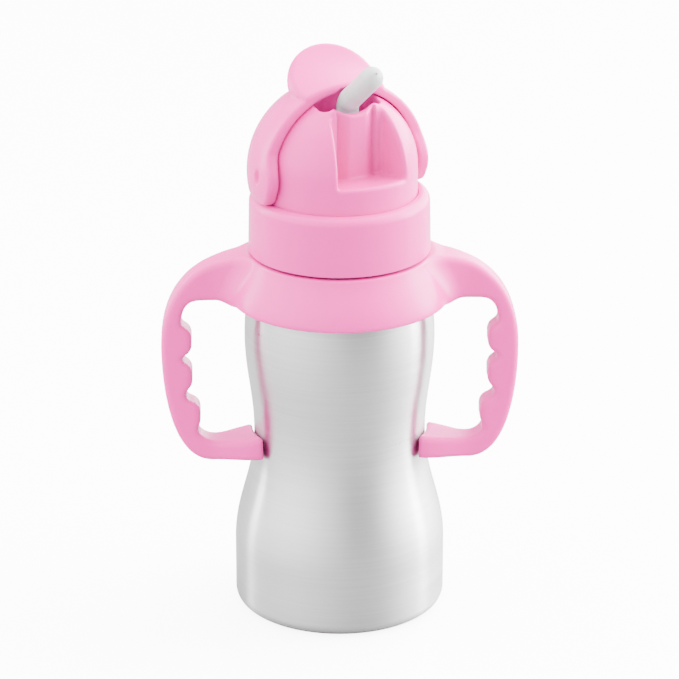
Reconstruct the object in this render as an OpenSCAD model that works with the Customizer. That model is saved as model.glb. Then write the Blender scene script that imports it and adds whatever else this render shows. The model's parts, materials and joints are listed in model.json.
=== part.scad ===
// Toddler's straw cup: an insulated steel bottle, a handle ring and a lid with a
// visor-like cover that folds a soft straw away.
// Z is the bottle's axis and z = 0 is the plane it stands on. The handles reach
// along X and their lower ends lean towards -Y, the drinking side.

/* [Bottle] */
// Radius of the straight foot
foot_r = 33.6; // [32:0.2:35]
// Top of the straight foot
foot_top = 21; // [18:1:24]
// Radius at the waist, where the handle tips reach in
waist_r = 27.3; // [26:0.1:27.5]
// Height of the waist
waist_z = 59; // [57:1:61]
// Radius at the chest, just below the shoulder
chest_r = 30.1; // [29:0.1:30.5]
// Height of the chest
chest_z = 91; // [89:1:93]
// Outer radius of the neck
neck_r = 23.9; // [23.5:0.1:24]
// Height of the mouth
lip_z = 134.5; // [134:0.1:134.5]
// Sheet thickness of shell and liner
sheet = 0.6; // [0.5:0.1:0.7]
// Distance between the outer faces of shell and liner
vacuum_gap = 3.0; // [2:0.1:3.5]

/* [Screw thread] */
// Rise of the thread in one turn
pitch = 4; // [3.8:0.1:4.2]
// Turns on the neck
neck_turns = 1.25; // [1:0.25:1.5]
// Turns inside the collar
collar_turns = 1; // [0.75:0.25:1]

/* [Handles] */
// Forward lean of the handles, degrees
handle_lean = 7; // [4:1:9]
// Thickness of the grip, front to back
grip_depth = 9; // [8:0.5:11]
// Gap between a handle's tip and the waist
tip_gap = 1.0; // [0.8:0.1:1.5]

/* [Lid] */
// Turn of the lid's front from -Y
lid_turn = 26; // [0:1:60]
// Radius of the dome
dome_r = 24.4; // [24:0.1:24.5]
// Height of the dome's centre, which is the cover's hinge axis
hinge_z = 147; // [147:0.5:148]
// Wall of the moulded parts
wall = 1.8; // [1.5:0.1:2]
// Outer radius of the collar at its foot
collar_r = 28.6; // [28.4:0.1:29]

/* [Cover] */
// Outer radius of the cover
cover_r = 28.9; // [28.8:0.1:29.5]
// Inner radius of the cover
cover_in_r = 25.8; // [25.7:0.1:26]
// Radius of the thumb tab
tab_r = 15.3; // [13:0.1:16]
// Backward lean of the thumb tab, degrees
tab_lean = 43.5; // [38:0.5:48]
// Radius of the hinge pins
pin_r = 2.4; // [2:0.1:2.6]

/* [Straw] */
// Outer radius of the straw
straw_r = 3.5; // [3.3:0.1:3.5]
// Bore radius of the straw
straw_bore = 2.2; // [1.8:0.1:2.4]
// Elevation of the raised straw, degrees
straw_rise = 37; // [35:1:40]

/* [Hidden] */
$fn = 96;

pink = "#F6AAD0";
steel = "#C9CCCE";
silicone = "#E6EAE8";
ease = 0.05;                            // clearance of parts that slide on each other

foot_round = 4;                         // rounding at the foot
shoulder_top = 109.3;                   // where the shoulder meets the neck
liner_floor = 6;
liner_neck_r = neck_r - 1.1;
lip_h = 0.6;
base_ring_r = foot_r - foot_round - 2;  // inner edge of the ring that the bottle stands on

ring_top = 119;
ring_skirt_r = 34.7;
ring_skirt_z = 104.4;
ring_bore = neck_r + 1.7;               // clears the neck's thread

thread_z = 122.5;                       // lowest turn of the neck's thread
thread_crest_r = neck_r + 1.4;
collar_foot = 119.7;
collar_top = 138.4;
collar_bore = 26.2;
ledge_z = 136.75;                       // underside of the collar's inward ledge
collar_crest_r = neck_r + 0.4;

flange_z = lip_z + 0.25;                // underside of the dome's flange
gasket_in = 21.7;
gasket_out = 24.3;
gasket_top = lip_z + 1.3;

recess_floor = 146;
recess_back = 11.5;                     // distance of the recess's back wall from the axis
recess_half = [9, 12.6];                // half width at the back and at the front
pocket_half = 10.5;
pocket_y = [-8.8, 1.5];
pocket_floor = 158;
notch_z = 166.2;
notch_r = 10;
straw_y = -5.1;                         // the straw's riser, just behind the pocket's front wall
vent_at = [7.6, -3];

elbow_z = 168.66;                       // where the axes of riser and raised straw cross
straw_dir = [0, -cos(straw_rise), sin(straw_rise)];
straw_turn = 90 - straw_rise;           // the riser bends forward by this angle
bend_r = 6;
bend_foot = elbow_z - bend_r * tan(straw_turn / 2);
fold_end = bend_r * tan(straw_turn / 2);
tip_at = 19.7;
straw_foot = 8.8;
socket_top = 152;
lower_straw_r = 3;

lobe_r = 8.3;                           // ears of the cover round the hinge axis
rim_y = -4.3;                           // plane of the cover's front rim when open
cover_hem = -8;                         // lower edge of the cover, from the hinge axis
cover_drop = 1.5;                       // the outer ball's centre is this far below the hinge axis
ear_in = dome_r + 0.25;                 // inner faces of the ears, from the mid plane
tab_at = [0, 3.5, 170.9];
pin_in = 21.2;                          // inner ends of the hinge pins, from the mid plane
grip_half = grip_depth / 2;

// Points of a cubic curve from a to d, without the first one
function curve(a, b, c, d, n = 12) = [
    for (i = [1:n]) let (t = i / n, s = 1 - t)
        s * s * s * a + 3 * s * s * t * b + 3 * s * t * t * c + t * t * t * d
];

// Points of an arc about c from angle a to angle b
function arc(c, r, a, b, n = 8) = [
    for (i = [0:n]) let (t = a + (b - a) * i / n) c + r * [cos(t), sin(t)]
];

// The bottle's side from the foot up to the neck, moved inwards by d
function side(d) = concat(
    [[foot_r - d, foot_top]],
    curve([foot_r - d, foot_top], [foot_r - d, foot_top + 14],
          [waist_r - d, waist_z - 16], [waist_r - d, waist_z]),
    curve([waist_r - d, waist_z], [waist_r - d, waist_z + 12],
          [chest_r - d, chest_z - 12], [chest_r - d, chest_z])
);

function shoulder(d, neck) = concat(
    curve([chest_r - d, chest_z], [chest_r - d, chest_z + 11 - d],
          [neck + 4.2, shoulder_top - 1 - d], [neck + 1.2, shoulder_top - d], 8),
    [[neck, shoulder_top + 1.2 - d]]
);

// Helical ridge between a root and a crest radius, starting at height z
module ridge(root, crest, z, turns) {
    steps = 36 * turns;
    half_root = 1.1;
    half_crest = 0.5;
    outline = [[root, -half_root], [crest, -half_crest], [crest, half_crest], [root, half_root]];
    points = [
        for (i = [0:steps], p = outline) let (a = 10 * i)
            [p[0] * cos(a), p[0] * sin(a), z + pitch * a / 360 + p[1]]
    ];
    sides = [
        for (i = [0:steps - 1], k = [0:3]) let (a = 4 * i + k, b = 4 * i + (k + 1) % 4)
            crest > root ? [a, b, b + 4, a + 4] : [a, a + 4, b + 4, b]
    ];
    first = crest > root ? [3, 2, 1, 0] : [0, 1, 2, 3];
    last = [for (k = first) 4 * steps + k];
    polyhedron(points, concat(sides, [first], [[last[3], last[2], last[1], last[0]]]));
}

module lid_frame() {
    rotate([0, 0, lid_turn]) children();
}

module outer_shell() {
    foot = arc([foot_r - foot_round, foot_round], foot_round, -90, 0);
    foot_in = arc([foot_r - foot_round, foot_round], foot_round - sheet, -90, 0);
    outside = concat(foot, side(0), shoulder(0, neck_r), [[neck_r, lip_z - lip_h]]);
    inside = concat(foot_in, side(sheet), shoulder(sheet, neck_r - sheet),
                    [[neck_r - sheet, lip_z - lip_h]]);
    n = len(inside);
    color(steel) union() {
        rotate_extrude() polygon(concat(
            [[base_ring_r, 0]], outside,
            [for (i = [1:n]) inside[n - i]], [[base_ring_r, sheet]]
        ));
        ridge(neck_r - 0.3, thread_crest_r, thread_z, neck_turns);
    }
}

module inner_liner() {
    floor_r = foot_r - vacuum_gap - foot_round;
    floor_c = [floor_r, liner_floor + foot_round];
    outside = concat(
        arc(floor_c, foot_round, -90, 0), side(vacuum_gap), shoulder(vacuum_gap, liner_neck_r),
        [[liner_neck_r, lip_z - lip_h], [neck_r, lip_z - lip_h], [neck_r, lip_z]]
    );
    d = vacuum_gap + sheet;
    inside = concat(
        arc(floor_c, foot_round - sheet, -90, 0), side(d), shoulder(d, liner_neck_r - sheet),
        [[liner_neck_r - sheet, lip_z]]
    );
    n = len(inside);
    color(steel) rotate_extrude() polygon(concat(
        [[0, liner_floor]], outside,
        [for (i = [1:n]) inside[n - i]], [[0, liner_floor + sheet]]
    ));
}

module base_cap() {
    rise = 1.4;
    color(steel) rotate_extrude() polygon([
        [0, rise], [base_ring_r - 2, rise], [base_ring_r - 1, 0.2], [base_ring_r, 0.2],
        [base_ring_r, 0.2 + sheet], [base_ring_r - 0.7, 0.2 + sheet],
        [base_ring_r - 1.7, rise + sheet], [0, rise + sheet]
    ]);
}

// Side view of the handle at +X: the bow outside, the finger opening inside
module handle_outline() {
    union() {
        polygon(concat(
            [[27, 118.2]],
            curve([30, 118.2], [44.6, 117.4], [56.4, 108], [56.4, 89]),
            curve([56.4, 89], [56.4, 75.5], [53.6, 52.8], [41, 52.3]),
            [[26, 53.2], [26, 60.6]],
            curve([34, 59.6], [40, 58], [44, 58.5], [45.6, 63], 6),
            curve([45.6, 63], [48.6, 70], [50, 78], [50, 92], 6),
            curve([50, 92], [50.4, 100], [49, 103.8], [44, 103.8], 6),
            [[27, 104.6]]
        ));
        // finger ribs
        for (rib = [[51.2, 90.7], [51.1, 79.3], [48.7, 66.7]])
            translate(rib) circle(r = 4.5, $fn = 32);
    }
}

module handle() {
    pivot_z = 112;
    depth = 16;
    wide = grip_half + 2.7;             // half depth where a handle meets ring and waist
    translate([0, 0, pivot_z]) rotate([-handle_lean, 0, 0]) translate([0, 0, -pivot_z])
        intersection() {
            rotate([90, 0, 0]) translate([0, 0, -depth / 2])
                linear_extrude(depth) handle_outline();
            translate([0, 0, 40]) linear_extrude(90) polygon([
                [26, -wide], [34, -grip_half - 1.1], [42, -grip_half - 0.1], [58, -grip_half],
                [58, grip_half], [42, grip_half + 0.1], [34, grip_half + 1.1], [26, wide]
            ]);
        }
}

module handle_ring() {
    outer = concat([[28.2, ring_top], [28.8, 118.6]],
        curve([28.8, 118.6], [29.6, 114.6], [33.9, 110.5], [ring_skirt_r, ring_skirt_z]));
    color(pink) difference() {
        union() {
            rotate_extrude() polygon(concat(outer, [
                [ring_skirt_r - 1.8, ring_skirt_z], [31.2, 110], [29.2, 112.6],
                [28, 109.8], [ring_bore, 109.8], [ring_bore, ring_top]
            ]));
            handle();
            mirror([1, 0, 0]) handle();
        }
        // room for the neck and shoulder, and the hollow ends of the handles
        translate([0, 0, 104]) cylinder(h = 20, r = ring_bore);
        translate([0, 0, 45]) cylinder(h = 25, r = waist_r + tip_gap);
        translate([0, 0, 95]) cylinder(h = 14, r = chest_r + 1);
    }
}

module collar_ring() {
    top_round = 3;
    top_r = collar_r - 0.3;
    color(pink) union() {
        rotate_extrude() polygon(concat(
            [[collar_bore, collar_foot], [collar_r, collar_foot]],
            arc([top_r - top_round, collar_top - top_round], top_round, 0, 90),
            [[dome_r + 0.25, collar_top], [dome_r + 0.25, ledge_z], [collar_bore, ledge_z]]
        ));
        ridge(collar_bore + 0.4, collar_crest_r, thread_z - pitch / 2 + 0.55, collar_turns);
    }
}

// Plan of the recess that takes the folded straw, grown by d
module recess_plan(d) {
    front = 30;
    half_front = recess_half[0] + (recess_half[1] - recess_half[0]) * (front - recess_back) / 14;
    polygon([
        [-recess_half[0] - d, -recess_back + d], [-half_front - d, -front],
        [half_front + d, -front], [recess_half[0] + d, -recess_back + d]
    ]);
}

module pocket_block(d, z) {
    top = 180;
    translate([-pocket_half - d, pocket_y[0] - d, z])
        cube([2 * (pocket_half + d), pocket_y[1] - pocket_y[0] + 2 * d, top - z]);
}

module dome_body(r, foot) {
    rotate_extrude() polygon(concat([[0, foot], [r, foot]], arc([0, hinge_z], r, 0, 90, 16)));
}

module dome_lid() {
    flange_r = collar_bore - 0.2;
    flange_top = ledge_z - ease;
    boss_r = pin_r + wall;
    color(pink) lid_frame() difference() {
        union() {
            dome_body(dome_r, flange_z);
            translate([0, 0, flange_z]) cylinder(h = flange_top - flange_z, r = flange_r);
        }
        // hollow underside, kept clear of recess, pocket and hinge bosses
        difference() {
            dome_body(dome_r - wall, flange_top);
            translate([0, 0, recess_floor - wall]) linear_extrude(60) recess_plan(wall);
            pocket_block(wall, pocket_floor - wall);
            for (s = [-1, 1]) translate([s * 26, 0, hinge_z]) rotate([0, -90 * s, 0])
                cylinder(h = 26 - pin_in + wall, r = boss_r);
        }
        translate([0, 0, flange_z - 1]) cylinder(h = 4, r = gasket_in - 1);
        // gasket groove
        translate([0, 0, flange_z - 1]) difference() {
            cylinder(h = gasket_top - flange_z + 1, r = gasket_out);
            translate([0, 0, -1]) cylinder(h = 10, r = gasket_in);
        }
        translate([0, 0, recess_floor]) linear_extrude(60) recess_plan(0);
        pocket_block(0, pocket_floor);
        // notch that the straw folds over
        translate([0, pocket_y[0] + 1, notch_z + notch_r]) rotate([90, 0, 0])
            cylinder(h = 8, r = notch_r);
        translate([0, straw_y, pocket_floor - 5]) cylinder(h = 5.01, r = straw_r + 0.4);
        translate([vent_at[0], vent_at[1], pocket_floor - 5]) cylinder(h = 8, r = 1.5);
        // bores of the cover's hinge pins
        for (s = [-1, 1]) translate([s * 30, 0, hinge_z]) rotate([0, -90 * s, 0])
            cylinder(h = 30 - pin_in + 0.3, r = pin_r + ease);
    }
}

module lid_gasket() {
    color(silicone) rotate_extrude() polygon([
        [gasket_in + ease, lip_z + 0.02], [gasket_out - ease, lip_z + 0.02],
        [gasket_out - ease, gasket_top], [gasket_in + ease, gasket_top]
    ]);
}

module vent_valve() {
    color(silicone) lid_frame() translate([vent_at[0], vent_at[1], pocket_floor])
        difference() {
            union() {
                cylinder(h = 0.8, r = 2.2);
                translate([0, 0, -wall]) cylinder(h = wall + 0.1, r = 1.5);
                translate([0, 0, -wall - 0.8]) cylinder(h = 0.8, r = 2.0);
                translate([0, 0, -wall - 3]) cylinder(h = 2.3, r1 = 0.6, r2 = 1.5);
            }
            translate([0, 0, -wall - 2.5]) cylinder(h = 8, r = 0.4);
        }
}

// Side view of the cover when open, in (y, z - hinge_z)
module cover_side() {
    union() {
        translate([rim_y, 0]) square([40, 50]);
        translate([0, cover_hem]) square([40, 50]);
        translate([1.5, 0]) circle(r = lobe_r);
    }
}

module flip_cover() {
    ball = 64;
    color(pink) lid_frame() translate([0, 0, hinge_z]) union() {
        intersection() {
            difference() {
                translate([0, 0, -cover_drop]) sphere(r = cover_r, $fn = ball);
                sphere(r = cover_in_r, $fn = ball);
                // room for the dome's straight side, at rest and as the ears swing past it
                translate([0, 0, -12]) cylinder(h = 12, r = ear_in + 0.1);
                rotate([0, 90, 0]) translate([0, 0, -ear_in]) cylinder(h = 2 * ear_in, r = 9.6);
            }
            rotate([90, 0, 90]) translate([0, 0, -40]) linear_extrude(80) cover_side();
        }
        for (s = [-1, 1]) translate([s * (cover_in_r + 1), 0, 0]) rotate([0, -90 * s, 0])
            cylinder(h = cover_in_r + 1 - pin_in, r = pin_r);
        // thumb tab
        difference() {
            translate([tab_at[0], tab_at[1], tab_at[2] - hinge_z]) rotate([-tab_lean, 0, 0])
                rotate([90, 0, 0]) translate([0, 0, -1]) cylinder(h = 2, r = tab_r);
            sphere(r = cover_in_r + 1.5, $fn = ball);
        }
    }
}

module straw_base() {
    sleeve_r = straw_r + 1.1;
    sleeve_top = pocket_floor - wall;
    color(silicone) lid_frame() translate([0, straw_y, 0]) rotate_extrude() polygon([
        [lower_straw_r, 140], [sleeve_r, 140], [sleeve_r, sleeve_top],
        [straw_r + 0.4, sleeve_top], [straw_r + 0.4, pocket_floor],
        [straw_r, pocket_floor], [straw_r, bend_foot], [straw_bore, bend_foot],
        [straw_bore, socket_top], [lower_straw_r, socket_top]
    ]);
}

module straw_bend() {
    color(silicone) lid_frame() translate([0, straw_y - bend_r, bend_foot])
        rotate([0, 90, 0]) rotate([0, 0, 90]) rotate_extrude(angle = straw_turn)
            translate([bend_r, 0]) difference() {
                circle(r = straw_r, $fn = 48);
                circle(r = straw_bore, $fn = 48);
            }
}

module straw_tip() {
    slit_r = 0.7;
    seam = fold_end + 0.02;
    length = tip_at - seam;
    color(silicone) lid_frame() translate([0, straw_y, elbow_z] + seam * straw_dir)
        rotate([straw_turn, 0, 0]) rotate_extrude() polygon(concat(
            [[straw_bore, 0], [straw_r, 0]],
            arc([0, length], straw_r, 0, acos(slit_r / straw_r), 12),
            [[slit_r, length + 1], [straw_bore, length - 1]]
        ));
}

module lower_straw() {
    color(silicone) lid_frame() translate([0, straw_y, straw_foot]) difference() {
        cylinder(h = socket_top - straw_foot, r = lower_straw_r);
        translate([0, 0, -1]) cylinder(h = socket_top, r = straw_bore);
    }
}

outer_shell();
inner_liner();
base_cap();
handle_ring();
collar_ring();
dome_lid();
lid_gasket();
vent_valve();
flip_cover();
straw_base();
straw_bend();
straw_tip();
lower_straw();
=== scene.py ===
"""Looks of the toddler's straw cup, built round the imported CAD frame.

The cup stands at the origin with its front towards -Y. Lengths are in millimetres until a mesh is made.
"""

import json
import math

import bpy
import numpy as np
from mathutils import Matrix, Vector


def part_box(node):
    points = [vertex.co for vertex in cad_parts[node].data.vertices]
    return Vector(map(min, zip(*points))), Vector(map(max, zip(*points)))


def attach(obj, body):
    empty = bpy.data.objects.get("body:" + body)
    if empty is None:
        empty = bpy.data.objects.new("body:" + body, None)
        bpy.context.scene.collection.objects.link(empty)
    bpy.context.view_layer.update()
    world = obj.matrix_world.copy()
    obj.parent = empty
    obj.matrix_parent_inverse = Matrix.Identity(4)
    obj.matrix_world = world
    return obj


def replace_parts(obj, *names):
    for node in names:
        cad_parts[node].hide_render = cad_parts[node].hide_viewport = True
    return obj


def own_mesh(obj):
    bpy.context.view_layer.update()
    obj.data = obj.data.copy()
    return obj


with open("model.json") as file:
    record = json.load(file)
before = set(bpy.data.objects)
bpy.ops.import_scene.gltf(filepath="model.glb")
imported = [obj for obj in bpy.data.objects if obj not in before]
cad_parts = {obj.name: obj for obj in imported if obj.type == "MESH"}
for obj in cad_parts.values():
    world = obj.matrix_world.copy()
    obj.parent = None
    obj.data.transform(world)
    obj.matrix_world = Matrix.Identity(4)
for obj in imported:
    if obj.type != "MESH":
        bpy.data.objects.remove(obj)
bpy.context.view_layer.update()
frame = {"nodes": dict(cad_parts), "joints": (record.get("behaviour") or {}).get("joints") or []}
joints = {j["name"]: j for j in frame["joints"]}

# ---------------------------------------------------------------- dimensions

MM = 0.001
LID_AXIS = joints["cover_flip"]["axis"]
LID_TURN = math.atan2(LID_AXIS[1], LID_AXIS[0])
HINGE_Z = joints["cover_flip"]["pos_m"][2] / MM

# bottle; the waist and the chest are a radius and a height
FOOT_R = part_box("outer_shell")[1].x / MM
FOOT_ROUND = 4.0
FOOT_TOP = 21.0
WAIST = (27.3, 59.0)
CHEST = (30.1, 91.0)
NECK_R = 23.9
SHOULDER_TOP = 109.3
NECK_FILLET = 1.2
LIP_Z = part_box("inner_liner")[1].z / MM
BASE_RING_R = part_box("base_cap")[1].x / MM
SHEET = 0.6

THREAD_PITCH = 4.0
THREAD_Z = 122.5
THREAD_TURNS = 1.25
THREAD_WIDTH = 2.4
THREAD_CREST_R = NECK_R + 1.4

# handle ring
RING_TOP = 119.0
RING_SKIRT = (34.7, 104.4)
RING_BORE = NECK_R + 1.7
BORE_FOOT = 104.0
# room under the ring for the bottle's chest: radius, middle height and half height
CHEST_ROOM = (CHEST[0] + 1.0, 100, 9)
# the handles lean forward towards their feet
HANDLE_LEAN = math.tan(math.radians(7))
HANDLE_PIVOT_Z = 112.0
GRIP_HALF = 4.5
# a handle deepens by this much on each side towards the ring, from this x and over this length
ROOT_EXTRA = 3.4
ROOT_FROM = 42
ROOT_LENGTH = 16
HANDLE_EDGE = 1.9
HANDLE_FILLET = 4.5
# below TIP_TOP the handles stay just off the waist
TIP_R = WAIST[0] + 0.5
TIP_TOP = 80
TIP_ROUND = 1.2
# middles of the finger ribs, in (x, z)
FINGER_RIBS = [(50.4, 90.7), (50.3, 79.3), (47.9, 66.7)]
RIB_R = 3.7
RIB_FLAT = 1.1
RIB_FILLET = 1.6

# collar
COLLAR_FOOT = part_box("collar_ring")[0].z / MM
COLLAR_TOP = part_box("collar_ring")[1].z / MM
COLLAR_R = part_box("collar_ring")[1].x / MM
COLLAR_BORE = 26.2
COLLAR_ROUND = 2.8
COLLAR_FOOT_ROUND = 0.5
LEDGE_Z = 136.75

# dome
DOME_R = 24.4
WALL = 1.8
RECESS_FLOOR = 146.0
RECESS_BACK = 11.5
# half width of the recess at its back, and how its walls and floor slope towards the front
RECESS_HALF = 9.1
RECESS_SPLAY = 3.6 / 14
RECESS_FALL = 0.06
RECESS_WALL_Y = -11.0
# column on the recess's back wall: its face, the slope beside it and its half width
COLUMN_Y = -12.1
COLUMN_CROWN = 0.012
COLUMN_FLAT = 2.6
COLUMN_SLOPE = 3.8
COLUMN_DEPTH = 1.9
COLUMN_HALF = 6.7
POCKET_FLOOR = 158.0
POCKET_FRONT = -8.8
POCKET_BACK = 1.5
POCKET_HALF = 10.5
POCKET_ROUND = 3.0
# scoop in the front edge of the pocket
SCOOP_R = 10
SCOOP_Z = 176.2
SCOOP_Y = -10.5
SCOOP_REACH = 4
# hinge pins, and the holes and bosses for them
PIN_R = 2.4
PIN_HOLE_R = 2.45
PIN_HOLE_X = 20.9
BOSS_R = 4.2
BOSS_X = 19.4

# cover: the outer ball sits COVER_DROP below the hinge
COVER_R = 28.9
COVER_DROP = 1.5
COVER_IN_R = 25.8
LIP_GAP = 0.2
LIP_Y = 1.5
RIM_Y = -4.3
NOTCH_UP = 22
NOTCH_Y = -2.3
EAR_R = 8.3
EAR_Y = 1.2
EAR_DROP = -8.0
BROW_UP = 14
EDGE_ROUND = 0.9
PIN_X = 24.2
PIN_HALF = 2.9
# oval dimple outside each pin: radii along x, y and z
DIMPLE = (1.5, 1.2, 2.6)
TAB_R = 15.3
TAB_HALF = 1.1
TAB_AT = (3.5, 170.9)
TAB_LEAN = math.radians(43.5)
TAB_SWEEP = 9

# straw
STRAW_R = 3.5
STRAW_BORE = 2.2
STRAW_Y = -5.1
STRAW_RISE = math.radians(37)
ELBOW_Z = 168.66
BEND_R = 6.0
TIP_AT = 19.7
STRAW_TURN = math.pi / 2 - STRAW_RISE
BEND_FOOT = ELBOW_Z - BEND_R * math.tan(STRAW_TURN / 2)
BEND_LENGTH = BEND_R * STRAW_TURN
# the bend's folding stretch starts after this turn and ends this far past the elbow
BASE_TURN = math.radians(28)
FOLD_END = 8.0


# ---------------------------------------------------------------- distance fields

def rounded_max(a, b, r):
    """Where both fields are inside, with the edge between them rounded to radius r."""
    return np.minimum(-r, np.maximum(a, b)) + np.hypot(np.maximum(a + r, 0), np.maximum(b + r, 0))


def rounded_min(a, b, r):
    """Where either field is inside, with a fillet of radius r between them."""
    return -rounded_max(-a, -b, r)


def smooth_min(a, b, k):
    """Union that blends softly over a width k."""
    h = np.clip(0.5 + 0.5 * (b - a) / k, 0, 1)
    return b + (a - b) * h - k * h * (1 - h)


def rounded_box(x, y, half_x, half_y, r):
    """Signed distance to a rectangle about the origin with corners of radius r."""
    u, v = np.abs(x) - half_x + r, np.abs(y) - half_y + r
    return np.hypot(np.maximum(u, 0), np.maximum(v, 0)) + np.minimum(np.maximum(u, v), 0) - r


def outline_distance(u, v, outline):
    """Signed distance from points (u, v) to a closed outline, negative inside."""
    shape = np.broadcast(u, v).shape
    nearest = np.full(shape, 1e9)
    inside = np.zeros(shape, bool)
    for (ax, ay), (bx, by) in zip(outline, outline[1:] + outline[:1]):
        ex, ey = bx - ax, by - ay
        wx, wy = u - ax, v - ay
        t = np.clip((wx * ex + wy * ey) / (ex * ex + ey * ey + 1e-12), 0, 1)
        nearest = np.minimum(nearest, (wx - ex * t) ** 2 + (wy - ey * t) ** 2)
        if ay != by:
            crossing = (ay > v) != (by > v)
            inside ^= crossing & (u < ax + ex * (v - ay) / (by - ay))
    return np.where(inside, -1, 1) * np.sqrt(nearest)


def bezier(a, b, c, d, n=12):
    """Points of a cubic curve from a to d, without the first one."""
    t = np.arange(1, n + 1)[:, None] / n
    s = 1 - t
    points = s**3 * np.array(a) + 3 * s * s * t * np.array(b)
    points = points + 3 * s * t * t * np.array(c) + t**3 * np.array(d)
    return [tuple(p) for p in points.tolist()]


def arc(centre, r, start, end, n=8):
    """Points of an arc, angles in degrees."""
    angles = np.radians(np.linspace(start, end, n + 1))
    return [(centre[0] + r * math.cos(t), centre[1] + r * math.sin(t)) for t in angles]


# ---------------------------------------------------------------- meshes

def surface_net(field, low, high, step):
    """Vertices and quads of the surface where field(x, y, z) is zero."""
    axes = [np.arange(start, end + step, step) for start, end in zip(low, high)]
    x, y, z = np.meshgrid(*axes, indexing="ij", sparse=True)
    f = np.asarray(field(x, y, z)) + np.zeros((len(axes[0]), len(axes[1]), len(axes[2])))
    solid = f < 0
    cells = tuple(n - 1 for n in f.shape)
    total = np.zeros(cells + (3,))
    count = np.zeros(cells)
    corners = [(i, j, k) for i in (0, 1) for j in (0, 1) for k in (0, 1)]

    def at(a, corner):
        return a[tuple(slice(c, c + n) for c, n in zip(corner, cells))]

    for a in corners:
        for axis in range(3):
            if a[axis]:
                continue
            b = tuple(c + (i == axis) for i, c in enumerate(a))
            fa, fb = at(f, a), at(f, b)
            crossed = at(solid, a) != at(solid, b)
            t = np.where(crossed, fa / np.where(crossed, fa - fb, 1), 0)
            for i in range(3):
                total[..., i] += np.where(crossed, a[i] + (t if i == axis else 0), 0)
            count += crossed
    active = count > 0
    index = np.full(cells, -1)
    index[active] = np.arange(active.sum())
    place = np.argwhere(active) + total[active] / count[active][:, None]
    vertices = np.array([a[0] for a in axes]) + place * step

    quads = []
    for axis in range(3):
        u, v = (axis + 1) % 3, (axis + 2) % 3
        lower = [slice(None)] * 3
        upper = [slice(None)] * 3
        lower[axis], upper[axis] = slice(0, -1), slice(1, None)
        first, second = solid[tuple(lower)], solid[tuple(upper)]
        for sign in (True, False):
            edge = np.argwhere((first == sign) & (second != sign))
            edge = edge[(edge[:, u] > 0) & (edge[:, v] > 0)]
            edge = edge[(edge[:, u] < cells[u]) & (edge[:, v] < cells[v])]
            ring = []
            for du, dv in ((1, 1), (0, 1), (0, 0), (1, 0)):
                cell = edge.copy()
                cell[:, u] -= du
                cell[:, v] -= dv
                ring.append(index[cell[:, 0], cell[:, 1], cell[:, 2]])
            quad = np.stack(ring, 1)
            quads.append(quad if sign else quad[:, ::-1])
    return vertices, np.concatenate(quads)


def project(field, points, rounds=2):
    """Moves points onto the zero surface of field."""
    h = 0.02
    for _ in range(rounds):
        x, y, z = points.T
        value = field(x, y, z)
        slope = np.stack([
            field(x + h, y, z) - field(x - h, y, z),
            field(x, y + h, z) - field(x, y - h, z),
            field(x, y, z + h) - field(x, y, z - h)
        ], 1) / (2 * h)
        length = np.maximum((slope**2).sum(1), 0.05)
        points = points - np.clip(value / length, -0.5, 0.5)[:, None] * slope
    return points


def relax(points, quads, share=0.5):
    """Moves each vertex towards the middle of its neighbours."""
    n = len(points)
    a, b = quads.ravel(), np.roll(quads, -1, 1).ravel()
    count = np.maximum(np.bincount(a, minlength=n) + np.bincount(b, minlength=n), 1)
    mean = np.stack([
        np.bincount(a, points[b, i], n) + np.bincount(b, points[a, i], n) for i in range(3)
    ], 1) / count[:, None]
    return points + share * (mean - points)


def add_mesh(name, vertices, faces, material, turn=0.0):
    """A smooth-shaded object from millimetre vertices, turned about Z."""
    mesh = bpy.data.meshes.new(name)
    mesh.from_pydata((np.asarray(vertices) * MM).tolist(), [], np.asarray(faces).tolist())
    mesh.transform(Matrix.Rotation(turn, 4, "Z"))
    mesh.polygons.foreach_set("use_smooth", [True] * len(mesh.polygons))
    mesh.materials.append(material)
    mesh.validate()
    mesh.update()
    piece = bpy.data.objects.new(name, mesh)
    bpy.context.scene.collection.objects.link(piece)
    return piece


def from_field(name, field, low, high, step, material, turn=0.0):
    """A piece whose surface is the zero of a distance field."""
    points, quads = surface_net(field, low, high, step)
    points = project(field, points)
    # relaxing evens out the faces, and projecting puts them back on the surface
    for _ in range(3):
        points = project(field, relax(points, quads), 1)
    return add_mesh(name, points, quads, material, turn)


def revolve(name, profile, material, segments=192):
    """A piece turned about Z from a closed loop of (radius, height) points that goes up on its outside."""
    profile = np.array(profile)
    n = len(profile)
    angles = np.linspace(0, 2 * math.pi, segments, endpoint=False)
    vertices = np.stack([
        np.outer(np.cos(angles), profile[:, 0]), np.outer(np.sin(angles), profile[:, 0]),
        np.tile(profile[:, 1], (segments, 1))
    ], -1).reshape(-1, 3)
    faces = []
    for i in range(segments):
        a, b = i * n, (i + 1) % segments * n
        for k in range(n):
            m = (k + 1) % n
            faces.append((a + k, b + k, b + m, a + m))
    return add_mesh(name, vertices, faces, material)


def sweep(rings):
    """Vertices and quads of a closed skin through rings of points, the last joined to the first."""
    count = len(rings[0])
    faces = []
    for i in range(len(rings)):
        a, b = i * count, (i + 1) % len(rings) * count
        for k in range(count):
            m = (k + 1) % count
            faces.append((a + k, a + m, b + m, b + k))
    return np.concatenate(rings), faces


# ---------------------------------------------------------------- materials

# sockets of a Mix node in its colour mode
MIX_SHARE, MIX_A, MIX_B, MIX_OUT = 0, 6, 7, 2


def node_material(name):
    """A new material, its node tree and its Principled shader."""
    material = bpy.data.materials.new(name)
    material.use_nodes = True
    tree = material.node_tree
    return material, tree, tree.nodes["Principled BSDF"]


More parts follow.
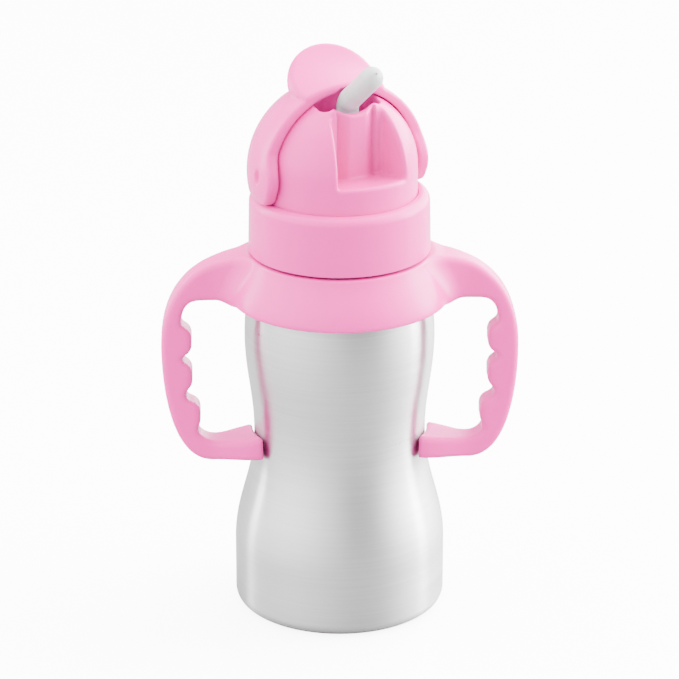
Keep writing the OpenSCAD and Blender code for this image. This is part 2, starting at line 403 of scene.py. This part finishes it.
def add_node(tree, kind, **values):
    """A node with its settings and inputs given by name."""
    node = tree.nodes.new(kind)
    for key, value in values.items():
        if hasattr(node, key):
            setattr(node, key, value)
        else:
            node.inputs[key.replace("_", " ")].default_value = value
    return node


def link(tree, start, output, end, socket):
    """Joins a node's output to another node's input."""
    tree.links.new(start.outputs[output], end.inputs[socket])


def colour_mix(tree, first, second):
    """A node that mixes two colours."""
    mix = add_node(tree, "ShaderNodeMix", data_type="RGBA")
    mix.inputs[MIX_A].default_value = first
    mix.inputs[MIX_B].default_value = second
    return mix


def pink_plastic():
    """Soft pink moulded plastic with a fine grain."""
    material, tree, shader = node_material("pink_plastic")
    place = add_node(tree, "ShaderNodeTexCoord")
    clouds = add_node(tree, "ShaderNodeTexNoise", Scale=55, Detail=3)
    grain = add_node(tree, "ShaderNodeTexNoise", Scale=2600, Detail=2)
    tone = colour_mix(tree, (0.82, 0.024, 0.33, 1), (0.85, 0.030, 0.35, 1))
    gloss = add_node(tree, "ShaderNodeMapRange", To_Min=0.22, To_Max=0.30)
    bump = add_node(tree, "ShaderNodeBump", Strength=0.035, Distance=0.0002)
    link(tree, place, "Object", clouds, "Vector")
    link(tree, place, "Object", grain, "Vector")
    link(tree, clouds, "Fac", tone, MIX_SHARE)
    # light that bounces from pink to pink stays pink and doesn't turn orange
    rays = add_node(tree, "ShaderNodeLightPath")
    bounce = add_node(tree, "ShaderNodeMix", data_type="RGBA")
    bounce.inputs[MIX_B].default_value = (0.66, 0.13, 0.42, 1)
    link(tree, rays, "Is Diffuse Ray", bounce, MIX_SHARE)
    link(tree, tone, MIX_OUT, bounce, MIX_A)
    link(tree, bounce, MIX_OUT, shader, "Base Color")
    link(tree, grain, "Fac", gloss, "Value")
    link(tree, gloss, "Result", shader, "Roughness")
    link(tree, grain, "Fac", bump, "Height")
    link(tree, bump, "Normal", shader, "Normal")
    shader.inputs["Specular IOR Level"].default_value = 0.25
    shader.inputs["Subsurface Weight"].default_value = 0.06
    shader.inputs["Subsurface Radius"].default_value = (1.0, 0.7, 0.85)
    shader.inputs["Subsurface Scale"].default_value = 0.0012
    shader.inputs["IOR"].default_value = 1.49
    return material


def brushed_steel(name, tone, rough):
    """Steel brushed round the bottle's axis: fine lines that run horizontally."""
    material, tree, shader = node_material(name)
    place = add_node(tree, "ShaderNodeTexCoord")
    stretch = add_node(tree, "ShaderNodeMapping")
    stretch.inputs["Scale"].default_value = (25, 25, 1500)
    lines = add_node(tree, "ShaderNodeTexNoise", Scale=1, Detail=2)
    broad = add_node(tree, "ShaderNodeMapping")
    broad.inputs["Scale"].default_value = (12, 12, 700)
    bands = add_node(tree, "ShaderNodeTexNoise", Scale=1, Detail=2)
    shade = colour_mix(tree, [tone * 0.86] * 3 + [1], [tone * 1.09, tone * 1.095, tone * 1.1, 1])
    gloss = add_node(tree, "ShaderNodeMapRange", To_Min=rough - 0.06, To_Max=rough + 0.08)
    bump = add_node(tree, "ShaderNodeBump", Strength=0.03, Distance=0.0001)
    tangent = add_node(tree, "ShaderNodeTangent", direction_type="RADIAL", axis="Z")
    link(tree, place, "Object", stretch, "Vector")
    link(tree, place, "Object", broad, "Vector")
    link(tree, stretch, "Vector", lines, "Vector")
    link(tree, broad, "Vector", bands, "Vector")
    link(tree, lines, "Fac", shade, MIX_SHARE)
    link(tree, shade, MIX_OUT, shader, "Base Color")
    link(tree, bands, "Fac", gloss, "Value")
    link(tree, gloss, "Result", shader, "Roughness")
    link(tree, lines, "Fac", bump, "Height")
    link(tree, bump, "Normal", shader, "Normal")
    link(tree, tangent, "Tangent", shader, "Tangent")
    shader.inputs["Metallic"].default_value = 1
    shader.inputs["Anisotropic"].default_value = 0.97
    shader.inputs["Anisotropic Rotation"].default_value = 0.25
    return material


def clear_silicone(name):
    """Translucent white rubber with a faint haze."""
    material, tree, shader = node_material(name)
    place = add_node(tree, "ShaderNodeTexCoord")
    haze = add_node(tree, "ShaderNodeTexNoise", Scale=400, Detail=3)
    tone = colour_mix(tree, (0.58, 0.60, 0.585, 1), (0.66, 0.68, 0.665, 1))
    bump = add_node(tree, "ShaderNodeBump", Strength=0.05, Distance=0.0002)
    link(tree, place, "Object", haze, "Vector")
    link(tree, haze, "Fac", tone, MIX_SHARE)
    link(tree, tone, MIX_OUT, shader, "Base Color")
    link(tree, haze, "Fac", bump, "Height")
    link(tree, bump, "Normal", shader, "Normal")
    shader.inputs["Roughness"].default_value = 0.32
    shader.inputs["Transmission Weight"].default_value = 0.35
    shader.inputs["Subsurface Weight"].default_value = 0.8
    shader.inputs["Subsurface Radius"].default_value = (1, 1, 1)
    shader.inputs["Subsurface Scale"].default_value = 0.003
    shader.inputs["IOR"].default_value = 1.41
    return material


def floor_material():
    """White studio paper."""
    material, tree, shader = node_material("floor_paper")
    place = add_node(tree, "ShaderNodeTexCoord")
    fibre = add_node(tree, "ShaderNodeTexNoise", Scale=900, Detail=2)
    gloss = add_node(tree, "ShaderNodeMapRange", To_Min=0.28, To_Max=0.34)
    link(tree, place, "Object", fibre, "Vector")
    link(tree, fibre, "Fac", gloss, "Value")
    link(tree, gloss, "Result", shader, "Roughness")
    # it is white to the camera alone, so that it doesn't flood the cup with light from below
    rays = add_node(tree, "ShaderNodeLightPath")
    white = add_node(tree, "ShaderNodeMapRange", To_Min=0.32, To_Max=0.92)
    glow = add_node(tree, "ShaderNodeMapRange", To_Min=0, To_Max=7)
    for part, socket in ((white, "Base Color"), (glow, "Emission Strength")):
        link(tree, rays, "Is Camera Ray", part, "Value")
        link(tree, part, "Result", shader, socket)
    shader.inputs["Emission Color"].default_value = (1, 1, 1, 1)
    return material


PINK = pink_plastic()
STEEL = brushed_steel("brushed_steel", 0.48, 0.30)
LINER_STEEL = brushed_steel("polished_steel", 0.5, 0.22)
SILICONE = clear_silicone("silicone")


# ---------------------------------------------------------------- bottle

def bottle_side():
    """(radius, height) of the bottle's outside from the foot to the mouth."""
    (waist_r, waist_z), (chest_r, chest_z) = WAIST, CHEST
    side = arc((FOOT_R - FOOT_ROUND, FOOT_ROUND), FOOT_ROUND, -90, 0, 12)
    side += bezier(side[-1], (FOOT_R, 10), (FOOT_R, 15), (FOOT_R, FOOT_TOP), 6)
    side += bezier(side[-1], (FOOT_R, FOOT_TOP + 14), (waist_r, waist_z - 16), (waist_r, waist_z), 28)
    side += bezier(side[-1], (waist_r, waist_z + 12), (chest_r, chest_z - 12), (chest_r, chest_z), 24)
    side += bezier(side[-1], (chest_r, chest_z + 11), (NECK_R + 4.2, SHOULDER_TOP - 1),
                   (NECK_R + NECK_FILLET, SHOULDER_TOP), 20)
    side += arc((NECK_R + NECK_FILLET, SHOULDER_TOP + NECK_FILLET), NECK_FILLET, -90, -180, 6)[1:]
    return side + [(NECK_R, LIP_Z - 1.0)]


def screw_ridge(root, crest, low, turns):
    """Rounded helical ridge, as vertices and quads, fading in and out at its ends."""
    per_turn = 72
    steps = int(per_turn * turns)
    rings = []
    for i in range(steps + 1):
        angle = 2 * math.pi * i / per_turn
        fade = min(1, 6 * i / steps, 6 * (steps - i) / steps)
        z = low + THREAD_PITCH * angle / (2 * math.pi)
        ring = []
        for k in range(9):
            share = k / 8
            r = root + (crest - root) * fade * math.sin(math.pi * share)
            ring.append((r * math.cos(angle), r * math.sin(angle), z + THREAD_WIDTH * (share - 0.5)))
        rings.append(ring)
    points, faces = sweep(rings)
    # the ridge fades to nothing at its ends, so they aren't joined
    return points, faces[:-len(rings[0])]


def make_bottle():
    """Outer wall of the bottle, open at the foot where the base cap sits, and its thread."""
    side = bottle_side()
    inner = [(r - SHEET, z) for r, z in side[::-1]]
    profile = [(BASE_RING_R, 0)] + side + inner[:-1] + [(BASE_RING_R, SHEET)]
    body = revolve("bottle_shell", profile, STEEL)
    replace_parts(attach(body, "bottle"), "outer_shell")
    points, faces = screw_ridge(NECK_R - 0.1, THREAD_CREST_R, THREAD_Z, THREAD_TURNS)
    thread = add_mesh("bottle_thread", points, faces, STEEL)
    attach(thread, "bottle")


# ---------------------------------------------------------------- handle ring

def ring_profile():
    """(radius, height) of the ring between the handles, from the top down the outside and up the bore."""
    skirt_r, skirt_z = RING_SKIRT
    outer = [(27.9, RING_TOP), (28.5, RING_TOP), (28.8, 118.6)]
    outer += bezier(outer[-1], (29.6, 114.6), (33.9, 110.5), (skirt_r, skirt_z), 14)
    return outer + [(skirt_r - 0.4, skirt_z - 0.5), (skirt_r - 1.2, skirt_z - 0.6),
                    (skirt_r - 1.9, skirt_z), (31.2, 110), (29.2, 112.6), (28, 109.8),
                    (RING_BORE, 109.8), (RING_BORE, RING_TOP)]


def handle_outline():
    """Side view of the handle at +X, in (x, z)."""
    points = [(24, 118.2)]
    points += bezier((30, 118.2), (44.6, 117.6), (56.4, 108), (56.4, 89), 24)
    points += bezier((56.4, 89), (56.4, 75.5), (53.6, 52.8), (41, 52.3), 24)
    points += [(24, 53.4), (24, 60.8)]
    points += bezier((33, 59.6), (40, 58), (44, 58.5), (45.6, 63), 12)
    points += bezier((45.6, 63), (48.6, 70), (50, 78), (50, 92), 12)
    points += bezier((50, 92), (50.4, 100), (49, 103.8), (44, 103.8), 12)
    return points + [(24, 104.4)]


RING_OUTLINE = ring_profile()
HANDLE_OUTLINE = handle_outline()


def handle_field(x, y, z):
    """One handle at +X: a flat bow with softly rounded edges and finger ribs."""
    side = outline_distance(x, z, HANDLE_OUTLINE)
    for rib_x, rib_z in FINGER_RIBS:
        rib = rounded_box(x - rib_x, z - rib_z, RIB_R, RIB_R + RIB_FLAT, RIB_R)
        side = rounded_min(side, rib, RIB_FILLET)
    spread = np.clip((ROOT_FROM - x) / ROOT_LENGTH, 0, 1)
    half_depth = GRIP_HALF + ROOT_EXTRA * spread * spread * (3 - 2 * spread)
    middle = -HANDLE_LEAN * (HANDLE_PIVOT_Z - z)
    bar = rounded_max(side, np.abs(y - middle) - half_depth, HANDLE_EDGE)
    tip = TIP_R - np.hypot(x, y)
    return np.where(z < TIP_TOP, rounded_max(bar, tip, TIP_ROUND), bar)


def ring_field(x, y, z):
    """The ring with both handles, cut clear of the bottle's chest and neck."""
    x = np.abs(x)
    r = np.hypot(x, y)
    ring = outline_distance(r, z, RING_OUTLINE)
    solid = rounded_min(ring, handle_field(x, y, z), HANDLE_FILLET)
    room_r, room_z, room_half = CHEST_ROOM
    under = rounded_max(r - room_r, np.abs(z - room_z) - room_half, 0.5)
    bore = np.maximum(r - RING_BORE, BORE_FOOT - z)
    solid = rounded_max(solid, z - RING_TOP, 0.5)
    return np.maximum(np.maximum(solid, -under), -bore)


def make_handle_ring():
    """The ring and its handles, as one moulding."""
    low, high = (-58.5, -37, 50), (58.5, 37, 121)
    ring = from_field("handle_ring_body", ring_field, low, high, 0.65, PINK)
    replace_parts(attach(ring, "handles"), "handle_ring")


# ---------------------------------------------------------------- collar

def make_collar():
    """The screw collar, slightly narrower at the top, with a ledge inside that holds the dome down."""
    top_r = COLLAR_R - 0.3
    foot_r = COLLAR_R - COLLAR_FOOT_ROUND
    profile = [(COLLAR_BORE, COLLAR_FOOT + 0.3), (COLLAR_BORE + 0.3, COLLAR_FOOT), (foot_r, COLLAR_FOOT)]
    profile += arc((foot_r, COLLAR_FOOT + COLLAR_FOOT_ROUND), COLLAR_FOOT_ROUND, -90, 0, 6)[1:]
    profile += [(COLLAR_R - 0.1, COLLAR_FOOT + 6), (top_r + 0.05, COLLAR_TOP - 5)]
    profile += arc((top_r - COLLAR_ROUND, COLLAR_TOP - COLLAR_ROUND), COLLAR_ROUND, 0, 90, 14)
    profile += arc((DOME_R + 0.45, COLLAR_TOP - 0.2), 0.2, 90, 180, 4)
    profile += [(DOME_R + 0.25, LEDGE_Z), (COLLAR_BORE, LEDGE_Z)]
    collar = revolve("collar_body", profile, PINK)
    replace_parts(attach(collar, "collar"), "collar_ring")


# ---------------------------------------------------------------- dome

def dome_field(x, y, z):
    """The lid's dome with its recess, pocket, scoop and pin holes, in the lid's own frame."""
    up = z - HINGE_Z
    r = np.hypot(x, y)
    capsule = np.where(up > 0, np.sqrt(r * r + up * up), r) - DOME_R
    # recess: side walls splay towards the front, a rounded column stands on the back wall
    side = np.abs(x)
    forward = -RECESS_BACK - y
    half = RECESS_HALF + forward * RECESS_SPLAY
    swell = np.clip((side - COLUMN_FLAT) / COLUMN_SLOPE, 0, 1)
    back = COLUMN_Y + COLUMN_CROWN * side * side + COLUMN_DEPTH * swell * swell * (3 - 2 * swell)
    back = np.where(side > COLUMN_HALF, RECESS_WALL_Y, back)
    # the factors make up for the slope of the walls, so that the rounding keeps its radius
    recess = rounded_max((side - half) * 0.97, (y - back) * 0.85, 0.6)
    recess = rounded_max(recess, RECESS_FLOOR + RECESS_FALL * forward - z, 0.8)
    body = rounded_max(capsule, -recess, 1.2)
    # pocket that the straw comes up through
    middle, half_depth = (POCKET_BACK + POCKET_FRONT) / 2, (POCKET_BACK - POCKET_FRONT) / 2
    pocket = rounded_box(x, y - middle, POCKET_HALF, half_depth, POCKET_ROUND)
    pocket = rounded_max(pocket, POCKET_FLOOR - z, 1.0)
    body = rounded_max(body, -pocket, 0.6)
    scoop = np.hypot(x, z - SCOOP_Z) - SCOOP_R
    scoop = np.maximum(scoop, np.abs(y - SCOOP_Y) - SCOOP_REACH)
    body = rounded_max(body, -scoop, 0.6)
    flange = np.maximum(r - (COLLAR_BORE - 0.2), z - (LEDGE_Z - 0.05))
    body = np.minimum(body, flange)
    bore = np.maximum(np.hypot(y, up) - PIN_HOLE_R, PIN_HOLE_X - np.abs(x))
    body = np.maximum(body, -bore)
    # the inside follows the recess and the pocket, and leaves a boss round each pin hole
    hollow = rounded_max(capsule + WALL, -(recess - WALL), 0.5)
    hollow = np.maximum(hollow, -(pocket - WALL))
    hollow = np.maximum(hollow, -np.maximum(np.hypot(y, up) - BOSS_R, BOSS_X - np.abs(x)))
    body = np.maximum(body, -hollow)
    return np.maximum(body, LIP_Z + 0.25 - z)


def make_dome():
    """The lid's dome, turned with the lid."""
    low, high = (-27, -27, 133.5), (27, 27, 172.5)
    dome = from_field("dome_body", dome_field, low, high, 0.55, PINK, LID_TURN)
    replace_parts(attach(dome, "lid"), "dome_lid")


# ---------------------------------------------------------------- cover

def cover_field(x, y, z):
    """The visor-like cover when open, in the lid's own frame."""
    up = z - HINGE_Z
    ball = np.sqrt(x * x + y * y + (up + COVER_DROP) ** 2) - COVER_R
    # room for the dome: a ball behind and above, straight towards the front and below, where the
    # cover swings past the dome's straight side, and close to the dome only along the rim
    inside = DOME_R + LIP_GAP + (COVER_IN_R - DOME_R - LIP_GAP) * np.clip(y / LIP_Y - 1, 0, 1)
    room = np.sqrt(x * x + np.maximum(y, 0) ** 2 + np.maximum(up, 0) ** 2) - inside
    # a shallow notch in the rim lets the straw past
    room = np.minimum(room, np.maximum(np.hypot(x, up - NOTCH_UP) - STRAW_R - 0.5, y - NOTCH_Y))
    # plane of the thumb tab: across x, and up and back
    v, w = y - TAB_AT[0], z - TAB_AT[1]
    along = v * math.sin(TAB_LEAN) + w * math.cos(TAB_LEAN)
    front = -v * math.cos(TAB_LEAN) + w * math.sin(TAB_LEAN)
    disc = np.hypot(x, along) - TAB_R
    plate = np.abs(front) - TAB_HALF
    tab = rounded_max(disc, plate, 0.8)
    # a hollow sweep fills the corner between the tab's face and the rim
    sweep_fill = smooth_min(ball, plate, TAB_SWEEP)
    sweep_fill = rounded_max(sweep_fill, disc + 0.3, 1.2)
    sweep_fill = np.maximum(sweep_fill, -8 - y)
    shell = rounded_min(ball, tab, 0.8)
    shell = np.minimum(shell, np.maximum(sweep_fill, -front))
    # what is kept of the ball: all behind the rim, and round ears below the hinge
    ear = np.hypot(y - EAR_Y, up) - EAR_R
    window = rounded_min(rounded_max(RIM_Y - y, EAR_DROP - up, 2.0), ear, 2.0)
    keep = np.where(up > BROW_UP, RIM_Y - y, window)
    shell = rounded_max(shell, keep, EDGE_ROUND)
    shell = rounded_max(shell, -room, 0.6)
    side = np.abs(x)
    dimple_x, dimple_y, dimple_z = DIMPLE
    dimple = ((side - COVER_R - 0.2) / dimple_x) ** 2 + (y / dimple_y) ** 2 + ((up - 0.3) / dimple_z) ** 2
    shell = rounded_max(shell, 1 - np.sqrt(dimple), 0.3)
    pin = rounded_max(np.hypot(y, up) - PIN_R, np.abs(side - PIN_X) - PIN_HALF, 0.3)
    return np.minimum(shell, pin)


def make_cover():
    """The flip cover, turned with the lid."""
    low, high = (-31, -8.5, 137), (31, 31, 184.5)
    cover = from_field("cover_body", cover_field, low, high, 0.6, PINK, LID_TURN)
    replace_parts(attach(cover, "cover"), "flip_cover")


# ---------------------------------------------------------------- straw

def straw_line(s):
    """Point and direction (y, z) of the straw's axis, s millimetres past the foot of its bend."""
    if s < 0:
        return (STRAW_Y, BEND_FOOT + s), (0, 1)
    angle = min(s, BEND_LENGTH) / BEND_R
    y = STRAW_Y - BEND_R * (1 - math.cos(angle))
    z = BEND_FOOT + BEND_R * math.sin(angle)
    way = (-math.sin(angle), math.cos(angle))
    rest = max(0, s - BEND_LENGTH)
    return (y + rest * way[0], z + rest * way[1]), way


def straw_ring(s, r, sides=48):
    """Ring of points round the straw's axis."""
    (y, z), (dy, dz) = straw_line(s)
    ring = []
    for k in range(sides):
        a = 2 * math.pi * k / sides
        ring.append((r * math.cos(a), y + r * math.sin(a) * dz, z - r * math.sin(a) * dy))
    return ring


def straw_piece(name, stations, body):
    """A closed stretch of tube through (distance, radius) stations, outside first, riding on a body."""
    points, faces = sweep([straw_ring(s, r) for s, r in stations])
    piece = add_mesh(name, points, faces, SILICONE, LID_TURN)
    piece.data.set_sharp_from_angle(angle=math.radians(50))
    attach(piece, body)
    return piece


def tube(start, end, count):
    """Stations of a tube's wall, along the outside and back along the bore."""
    way = np.linspace(start, end, count)
    return [(s, STRAW_R) for s in way] + [(s, STRAW_BORE) for s in way[::-1]]


def make_straw():
    """The mouthpiece above its CAD base: a riser and the stretch of the bend after it, both fixed on the
    lid, and the spout that turns.
    """
    base_end = BASE_TURN * BEND_R
    past_bend = BEND_LENGTH - BEND_R * math.tan(STRAW_TURN / 2)
    fold_end = past_bend + FOLD_END
    tip_centre = past_bend + TIP_AT
    riser = tube(0.05, base_end, 8)
    fold = tube(base_end, fold_end, 16)
    # the spout's rounded end has a small drinking hole
    spout = [(s, STRAW_R) for s in np.linspace(fold_end, tip_centre, 10)]
    spout += [(tip_centre + STRAW_R * math.sin(a), STRAW_R * math.cos(a))
              for a in np.radians(np.linspace(0, 84, 20))[1:]]
    spout += [(tip_centre + STRAW_BORE * math.sin(a), STRAW_BORE * math.cos(a))
              for a in np.radians(np.linspace(80, 0, 12))]
    spout += [(s, STRAW_BORE) for s in np.linspace(tip_centre, fold_end, 10)[1:]]
    straw_piece("straw_riser", riser, "lid")
    bend = straw_piece("straw_fold", fold, "lid")
    tip = straw_piece("straw_spout", spout, "straw")
    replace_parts(bend, "straw_bend")
    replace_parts(tip, "straw_tip")
    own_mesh(bend)


# ---------------------------------------------------------------- stage

def soft_light(name, place, size, power, target=(0, 0, 0.1)):
    """A rectangular lamp, in metres and watts, that faces a target."""
    light = bpy.data.lights.new(name, "AREA")
    light.shape = "RECTANGLE"
    light.size, light.size_y = size
    light.energy = power
    lamp = bpy.data.objects.new(name, light)
    lamp.location = place
    lamp.rotation_euler = (Vector(target) - Vector(place)).to_track_quat("-Z", "Y").to_euler()
    bpy.context.scene.collection.objects.link(lamp)


FLOOR_HALF = 6
ROOM_LIGHT = 1.3
CAMERA_GLOW = 8
# direction, sharpness and strength of each broad light
SIDE_LIGHTS = [((0.90, 0.42, 0.15), 3, 25), ((-0.96, -0.26, 0.15), 1.4, 6)]


def make_stage():
    """Floor, room and lamps, in metres."""
    mesh = bpy.data.meshes.new("floor")
    corners = [(x * FLOOR_HALF, y * FLOOR_HALF, 0) for x, y in ((-1, -1), (1, -1), (1, 1), (-1, 1))]
    mesh.from_pydata(corners, [], [(0, 1, 2, 3)])
    mesh.materials.append(floor_material())
    floor = bpy.data.objects.new("floor", mesh)
    bpy.context.scene.collection.objects.link(floor)
    world = bpy.data.worlds.new("studio")
    bpy.context.scene.world = world
    world.use_nodes = True
    tree = world.node_tree
    sky = tree.nodes["Background"]
    sky.inputs["Color"].default_value = (1, 1, 1, 1)
    # a dim room with a broad soft light on the left and a stronger one on the right
    place = add_node(tree, "ShaderNodeTexCoord")
    total = add_node(tree, "ShaderNodeValue").outputs["Value"]
    total.default_value = ROOM_LIGHT
    for way, sharpness, strength in SIDE_LIGHTS:
        facing = add_node(tree, "ShaderNodeVectorMath", operation="DOT_PRODUCT")
        facing.inputs[1].default_value = Vector(way).normalized()
        bound = add_node(tree, "ShaderNodeMath", operation="MAXIMUM")
        bound.inputs[1].default_value = 0
        lobe = add_node(tree, "ShaderNodeMath", operation="POWER")
        lobe.inputs[1].default_value = sharpness
        summed = add_node(tree, "ShaderNodeMath", operation="MULTIPLY_ADD")
        summed.inputs[1].default_value = strength
        link(tree, place, "Generated", facing, 0)
        link(tree, facing, "Value", bound, 0)
        link(tree, bound, "Value", lobe, 0)
        link(tree, lobe, "Value", summed, 0)
        tree.links.new(total, summed.inputs[2])
        total = summed.outputs["Value"]
    # like the floor, the room looks white to the camera alone
    rays = add_node(tree, "ShaderNodeLightPath")
    white = add_node(tree, "ShaderNodeMath", operation="MULTIPLY_ADD")
    white.inputs[1].default_value = CAMERA_GLOW
    link(tree, rays, "Is Camera Ray", white, 0)
    tree.links.new(total, white.inputs[2])
    link(tree, white, "Value", sky, "Strength")
    soft_light("top", (0, 0.35, 1.4), (2.2, 2.0), 56, (0, 0, 0))
    soft_light("left_strip", (-0.92, 0.35, 0.4), (0.2, 1.0), 8)
    soft_light("right_strip", (0.98, 0.15, 0.4), (0.25, 1.0), 14)


# focal length and sensor in millimetres, place in metres, angles in degrees
CAMERA_LENS = 180.3
CAMERA_SENSOR = 36
CAMERA_REACH = 1.0036
CAMERA_HEIGHT = 0.4799
CAMERA_DIP = 21.3
CAMERA_SWING = -2


def make_camera():
    """Camera in front of the cup, looking a little down."""
    camera = bpy.data.cameras.new("camera")
    camera.lens = CAMERA_LENS
    camera.sensor_width = CAMERA_SENSOR
    view = bpy.data.objects.new("camera", camera)
    swing = math.radians(CAMERA_SWING)
    view.location = (CAMERA_REACH * math.sin(swing), -CAMERA_REACH * math.cos(swing), CAMERA_HEIGHT)
    view.rotation_euler = (math.radians(90 - CAMERA_DIP), 0, swing)
    bpy.context.scene.collection.objects.link(view)
    bpy.context.scene.camera = view


def finish_cad_nodes():
    """Materials of the CAD nodes that stay as they are."""
    finishes = {
        "inner_liner": LINER_STEEL, "base_cap": STEEL, "lid_gasket": SILICONE, "vent_valve": SILICONE,
        "straw_base": SILICONE, "lower_straw": SILICONE
    }
    for name, material in finishes.items():
        node = frame["nodes"][name]
        node.data.materials.clear()
        node.data.materials.append(material)


make_camera()
make_stage()
make_bottle()
make_handle_ring()
make_collar()
make_dome()
make_cover()
make_straw()
finish_cad_nodes()
